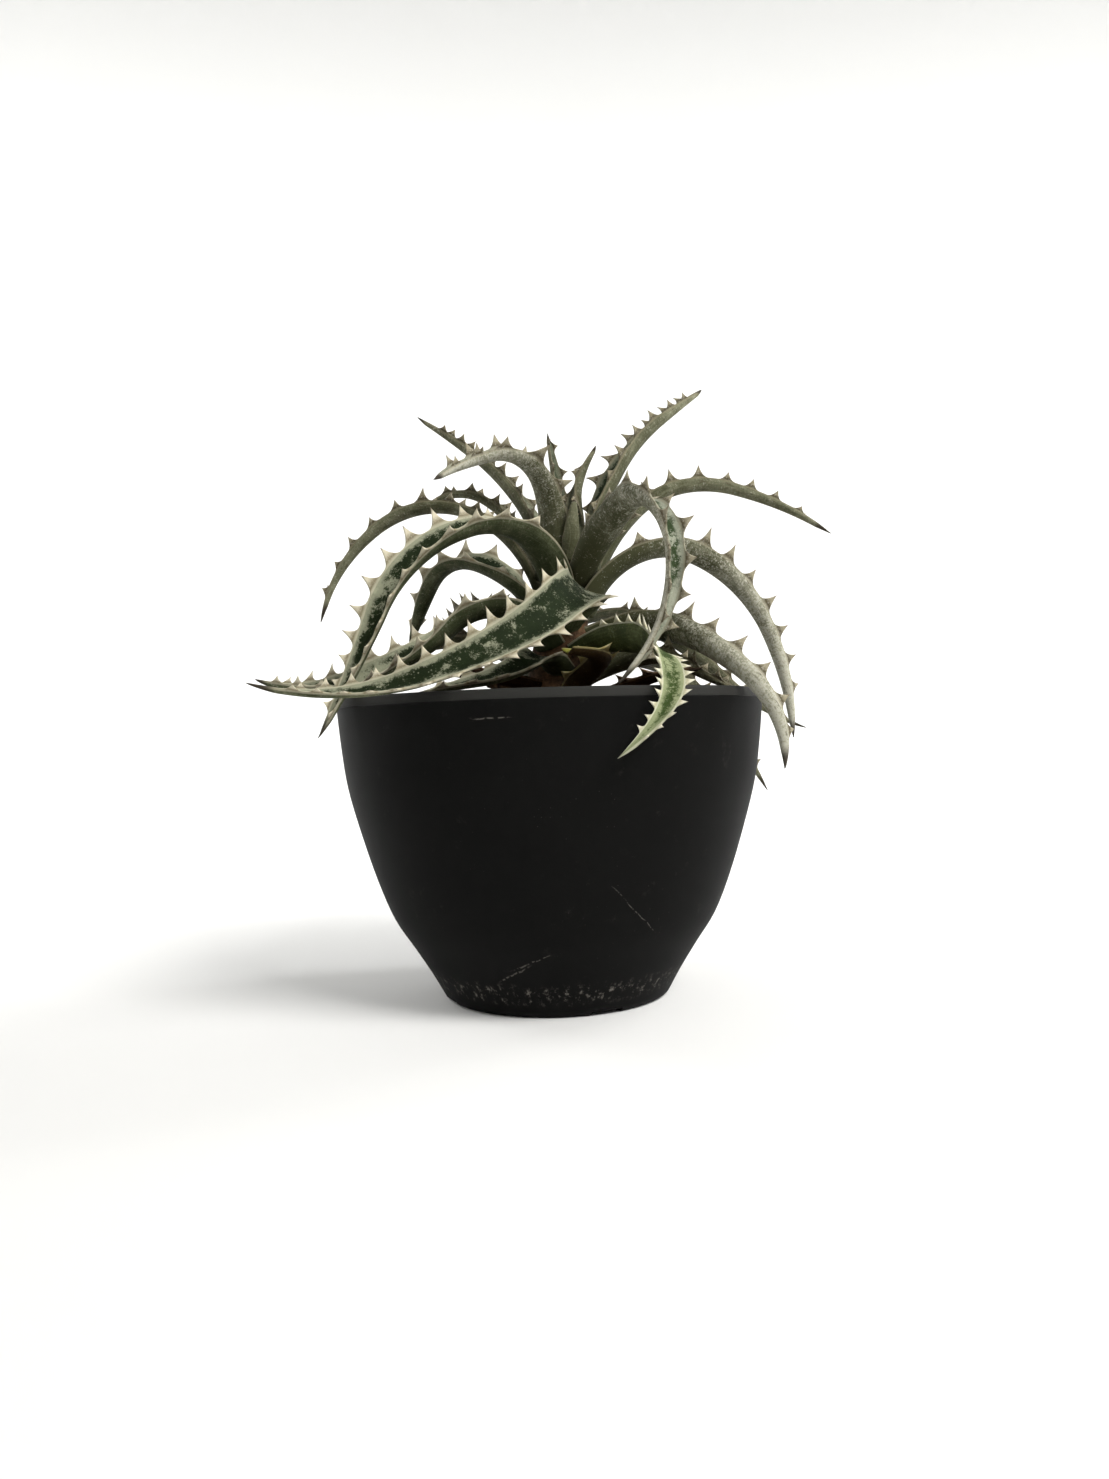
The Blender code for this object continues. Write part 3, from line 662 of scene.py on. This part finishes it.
def leaf_skin(name, under_dark, under_pale, upper_dark, upper_pale, root_tone, tip_tone,
              frost, painted_outward_light, cuff=0.4, tip=0.93):
    """Leaf finish: a dark and a pale colour of the under side, the same of the channel side, and a tooth's
    colours at its root and its tip. Frost is how much pale scurf lies on the leaf; the number after it is
    how much paler the leaf is painted outwards, which is painted light, with painted shade at its foot
    under the rosette; cuff is how white its margins are on the channel side, and tip is where its dry end
    begins."""
    skin = Finish(name, Specular_IOR_Level=0.09)
    spot = skin.add("Attribute", {"attribute_name": "spot"}, out=1)
    along, arc, under = skin.apart(spot)
    inward, horn, root = skin.apart(skin.add("Attribute", {"attribute_name": "edge"}, out=1))
    share = skin.add("Attribute", {"attribute_name": "share"}, out=2)
    place = skin.add("TexCoord", out=3)
    patch = skin.cloud(place, 110.0, 4.0, 0.6)
    blotch = skin.cloud(place, 420.0, 6.0, 0.75)
    rows = skin.cloud(skin.spot(along * 0.09, arc * 2.2), 1.0, 3.0)
    lines = skin.cloud(skin.spot(along * 0.3, arc * 8.0), 1.0, 2.0)
    ripple = skin.cloud(skin.spot(along * 3.2, arc * 0.6, under * 5.0), 1.0, 3.0, 0.7)
    grain = skin.cloud(place, 1700.0, 5.0, 0.75)
    dots = skin.add("TexVoronoi", {"feature": "F1"}, Vector=place, Scale=950.0)

    # Under side: olive grey with fine rows of scales, painted paler outwards: painted shade at the foot
    # under the rosette and painted light on the outer part.
    scales_and_painted_light = rows * 0.3 + lines * 0.25 + blotch * 0.35 + ripple * 0.25 + grain * 0.35 + (patch - 0.5) * 0.6
    # Painted light: the tone grows paler along the leaf, so the foot looks shaded and the end lit.
    scales_and_painted_light = skin.step(scales_and_painted_light + (share - 0.35) * painted_outward_light * 0.55, 0.68 - 0.2 * frost, 1.16 - 0.1 * frost)
    below = skin.blend(scales_and_painted_light, under_dark, under_pale)
    # Pale scales. The outward-paling number also strengthens them and gathers them towards the end, which
    # is painted light.
    pale_flakes_and_light = skin.step(grain * 0.7 + ripple * 0.3 + (blotch - 0.5) * 0.5 + share * painted_outward_light * 0.16, 0.6, 0.72)
    below = skin.blend(pale_flakes_and_light * (0.3 + painted_outward_light * 0.3), below, linear(186, 184, 170))
    streak = skin.step(skin.cloud(skin.spot(along * 0.4, arc * 3.0, 4.0), 1.0, 3.0), 0.5, 0.66)
    near_root = skin.step(root, 0.1, 0.8) * (1.0 - skin.step(inward, 0.5, 3.5))
    below = skin.blend(near_root * streak * 0.6, below, linear(66, 56, 44))

    # Channel side: dark green, with flaking scurf that gathers along both margins.
    ragged = inward + (blotch - 0.5) * 5.0 + (grain - 0.5) * 2.5
    margin = (1.0 - skin.step(ragged, 0.5, 1.7)) * cuff
    woolly = (1.0 - skin.step(share, 0.1, 0.34)) * 0.16
    flakes = skin.step(blotch * 0.5 + grain * 0.5 + (patch - 0.5) * 0.9 + woolly, 0.58 - 0.14 * frost,
                       0.68 - 0.1 * frost)
    above = skin.blend(skin.step(patch, 0.35, 0.7), upper_dark, tuple(v * 1.6 for v in upper_dark))
    above = skin.blend(flakes * 0.7, above, upper_pale)
    above = skin.blend(margin, above, upper_pale)
    specks = (1.0 - skin.step(dots, 0.12, 0.24)) * skin.step(blotch, 0.45, 0.6)
    above = skin.blend(specks * 0.5, above, upper_pale)
    body = skin.blend(under, above, below)

    # Margins: a hair-thin horny line, and horny teeth that darken at the needle.
    line = 1.0 - skin.step(inward + (grain - 0.5) * 0.3, 0.04, 0.32)
    body = skin.blend(line * 0.5, body, tip_tone)
    tooth = skin.blend(skin.step(horn + (grain - 0.5) * 0.3, 0.15, 0.55), root_tone, tip_tone)
    tooth = skin.blend(skin.step(grain, 0.5, 0.68) * 0.4, tooth, linear(206, 202, 190))
    tooth = skin.blend(skin.step(horn, 0.7, 1.0) * 0.75, tooth, linear(84, 62, 44))
    body = skin.blend(skin.step(horn, 0.03, 0.2), body, tooth)
    dry = skin.step(share + (patch - 0.5) * 0.06, tip, tip + 0.04)
    body = skin.blend(dry * 0.9, body, linear(44, 36, 30))
    ridge = rows * 0.3 + lines * 0.2 + ripple * 0.3 + grain * 0.6 + flakes * (1.0 - under) * 0.3
    return skin.wear(body, 0.64 + scales_and_painted_light * 0.14, ridge, 0.7, 0.0005)


GREY = leaf_skin("grey_leaf", linear(64, 65, 45), linear(126, 126, 103), linear(30, 40, 22),
                 linear(146, 147, 126), linear(70, 64, 47), linear(126, 119, 97),
                 frost=0.4, painted_outward_light=0.45)
# Pale leaves: the strongest painted light, much paler at their outer ends than at their shaded feet.
PALE = leaf_skin("pale_leaf", linear(66, 67, 46), linear(150, 149, 130), linear(44, 56, 34),
                 linear(178, 180, 162), linear(84, 77, 59), linear(150, 143, 121),
                 frost=0.44, painted_outward_light=1.5, cuff=0.6)
GREEN = leaf_skin("green_leaf", linear(54, 60, 38), linear(116, 119, 94), linear(23, 32, 14),
                  linear(158, 160, 136), linear(134, 125, 100), linear(206, 198, 174),
                  frost=0.34, painted_outward_light=0.3, cuff=0.8)
YOUNG = leaf_skin("young_leaf", linear(58, 67, 36), linear(116, 124, 84), linear(46, 60, 26),
                  linear(158, 165, 126), linear(182, 178, 146), linear(224, 220, 198),
                  frost=0.36, painted_outward_light=0.4, cuff=0.75, tip=0.97)
YELLOW = leaf_skin("cut_leaf", linear(50, 37, 20), linear(86, 68, 38), linear(116, 116, 40),
                   linear(170, 166, 88), linear(140, 126, 74), linear(190, 178, 128),
                   frost=0.3, painted_outward_light=0.0, cuff=0.3, tip=2.0)
BROWN = leaf_skin("dried_leaf", linear(36, 22, 14), linear(92, 66, 43), linear(34, 19, 13),
                  linear(104, 76, 50), linear(66, 48, 33), linear(120, 97, 72),
                  frost=0.3, painted_outward_light=0.0, cuff=0.2, tip=0.9)
SKINS = {"leaf_08": YOUNG, "leaf_stub": YELLOW, "dead_leaf": BROWN, "leaf_02": BROWN,
         "leaf_05": GREEN, "leaf_10": GREEN, "leaf_13": GREEN, "leaf_15": GREEN, "leaf_18": GREEN,
         "leaf_11": PALE, "leaf_16": PALE, "leaf_21": PALE, "leaf_23": PALE}
SLOTS = {"leaf_08": "young_leaf", "leaf_stub": "cut_leaf", "dead_leaf": "dried_leaf",
         "leaf_02": "dried_leaf"}

for number, (name, (step, length, width, heading, rise, roll, channel)) in enumerate(LEAVES.items()):
    height, angle = spiral(step)
    height = max(height, SOIL_TOP + FOOT_LOWEST)
    foot = on_stem(height, angle, FOOT_GAP)
    blade = Blade(foot, length, width, heading, rise, roll, channel, CUT.get(name, 0.0))
    pitch = 0.0 if name in BARE else DENSE.get(name, TOOTH_PITCH)
    mesh = leaf_mesh(name + "_skin", blade, pitch, LEAF_SEED + number)
    leaf = bpy.data.objects.new(name + "_skin", mesh)
    bpy.context.scene.collection.objects.link(leaf)
    hand_over(leaf, name + "_skin", SKINS.get(name, GREY), SLOTS.get(name, "leaf_skin"), name)


# Stem: a short leaning trunk, rough and brown, with the dried bases of the oldest leaves
# still clasping its foot.
DEAD_BASES = (-1, -2, -3, -4, -6, -7)
DEAD_LENGTH, DEAD_WIDTH, DEAD_END = 17.0, 9.0, 2.5
DEAD_SEED = 50
DEAD_SINK = 3.5                # how far an old base reaches into the stem
DEAD_LOWEST = 5.0              # lowest that one stands above the soil
STEM_SEGMENTS = 64
trunk = [(STEM_WIDE - 1.6, 61.5), (STEM_WIDE, 66.0)]
trunk += [(stem_radius(z), z) for z in range(67, 128)]
trunk += [(STEM_SLIM * 0.6, STEM_HEAD.z - 0.8), (STEM_SLIM * 0.2, STEM_HEAD.z)]
stem = turned(trunk, STEM_SEGMENTS)
for vertex in stem.data.vertices:
    rough = 1.0 + 0.05 * noise.noise(vertex.co * 260.0) + 0.04 * noise.noise(vertex.co * 900.0)
    vertex.co.x = vertex.co.x * rough + stem_middle(vertex.co.z / MM).x * MM
    vertex.co.y *= rough
whole = bmesh.new()
whole.from_mesh(stem.data)
for step in DEAD_BASES:
    height, angle = spiral(step)
    height = max(height, SOIL_TOP + DEAD_LOWEST)
    root = on_stem(height, angle, -DEAD_SINK)
    way = math.degrees(angle)
    blade = Blade(root, DEAD_LENGTH, DEAD_WIDTH, (way,) * 4, (30, 22, 12, 5), (0,) * 4, (40, 45), DEAD_END)
    base = leaf_mesh("old_base", blade, 0.0, DEAD_SEED + step)
    whole.from_mesh(base)
    bpy.data.meshes.remove(base)
whole.to_mesh(stem.data)
whole.free()
stem.data.shade_smooth()
husk = Finish("stem_bark", Specular_IOR_Level=0.25)
place = husk.add("TexCoord", out=3)
fibre = husk.cloud(place, 700.0, 6.0, 0.7)
patch = husk.cloud(place, 120.0, 3.0)
tone = husk.blend(husk.step(fibre * 0.6 + patch * 0.5, 0.35, 0.8), linear(26, 17, 12), linear(122, 92, 66))
hand_over(stem, "stem_bark", husk.wear(tone, 0.88, fibre, 0.7, 0.0005), "stem_bark", "stem")


# Studio: a pale round paper sweep under and round the pot. One soft box in front, high on the
# right, lights the plant, two more light the paper behind it, and a dim sky fills the rest.
SWEEP_FLAT, SWEEP_BEND, SWEEP_TOP = 0.9, 0.7, 3.0
sweep_profile = [(SWEEP_FLAT, 0.0)]
sweep_profile += [(SWEEP_FLAT + SWEEP_BEND * math.sin(t), SWEEP_BEND * (1.0 - math.cos(t)))
                  for t in [math.radians(5.0 * i) for i in range(1, 19)]]
sweep_profile.append((SWEEP_FLAT + SWEEP_BEND, SWEEP_TOP))
deselect()
bpy.ops.mesh.primitive_circle_add(vertices=96, radius=SWEEP_FLAT, fill_type="NGON")
sweep = bpy.context.object
bpy.ops.object.mode_set(mode="EDIT")
bpy.ops.mesh.select_mode(type="EDGE")
bpy.ops.mesh.select_all(action="SELECT")
for (r0, z0), (r1, z1) in zip(sweep_profile, sweep_profile[1:]):
    bpy.ops.mesh.extrude_edges_move(TRANSFORM_OT_translate={"value": (0, 0, z1 - z0)})
    bpy.ops.transform.resize(value=(r1 / r0, r1 / r0, 1.0), center_override=(0, 0, z1))
bpy.ops.object.mode_set(mode="OBJECT")
sweep.data.shade_smooth()
sweep.name = "studio_sweep"
paper = Finish("sweep_paper", Specular_IOR_Level=0.1)
sweep.data.materials.append(paper.wear(linear(228, 228, 227), 0.9))


def soft_box(name, place, aim, size, power, tint):
    """A square soft box at a place, in metres, turned to face a point."""
    light = bpy.data.lights.new(name, "AREA")
    light.shape, light.size, light.energy, light.color = "SQUARE", size, power, tint
    box = bpy.data.objects.new(name, light)
    box.location = place
    box.rotation_euler = (Vector(aim) - Vector(place)).to_track_quat("-Z", "Y").to_euler()
    bpy.context.scene.collection.objects.link(box)


KEY_POWER, BACKDROP_POWER, SKY_STRENGTH = 10.5, 11.0, 0.3
soft_box("key_light", (0.5, -0.5, 0.7), (0.0, 0.0, 0.1), 0.4, KEY_POWER, (1.0, 0.99, 0.97))
for number, side in enumerate((-0.7, 0.7)):
    soft_box("backdrop_light_%d" % number, (side, 0.35, 0.6), (0.0, 1.6, 0.1), 0.5, BACKDROP_POWER,
             (1.0, 1.0, 0.99))
sky = bpy.data.worlds.new("soft_sky")
sky.use_nodes = True
sky.node_tree.nodes["Background"].inputs["Color"].default_value = (1.0, 1.0, 1.0, 1.0)
sky.node_tree.nodes["Background"].inputs["Strength"].default_value = SKY_STRENGTH
bpy.context.scene.world = sky
bpy.context.scene.view_settings.view_transform = "Standard"

# Camera: the photograph's own viewing place, just under the rim's height and a little turned.
CAMERA_PLACE = Vector((1.15, -316.0, 76.2))
CAMERA_DOWN, CAMERA_ROLL = 0.41, 1.6
lens = bpy.data.cameras.new("camera")
lens.lens, lens.sensor_width = 26.0, 36.0
lens.clip_start, lens.clip_end = 0.01, 20.0
camera = bpy.data.objects.new("camera", lens)
camera.matrix_world = Matrix.Translation(CAMERA_PLACE * MM) @ \
    Matrix.Rotation(math.radians(90.0 - CAMERA_DOWN), 4, "X") @ \
    Matrix.Rotation(math.radians(-CAMERA_ROLL), 4, "Z")
bpy.context.scene.collection.objects.link(camera)
bpy.context.scene.camera = camera
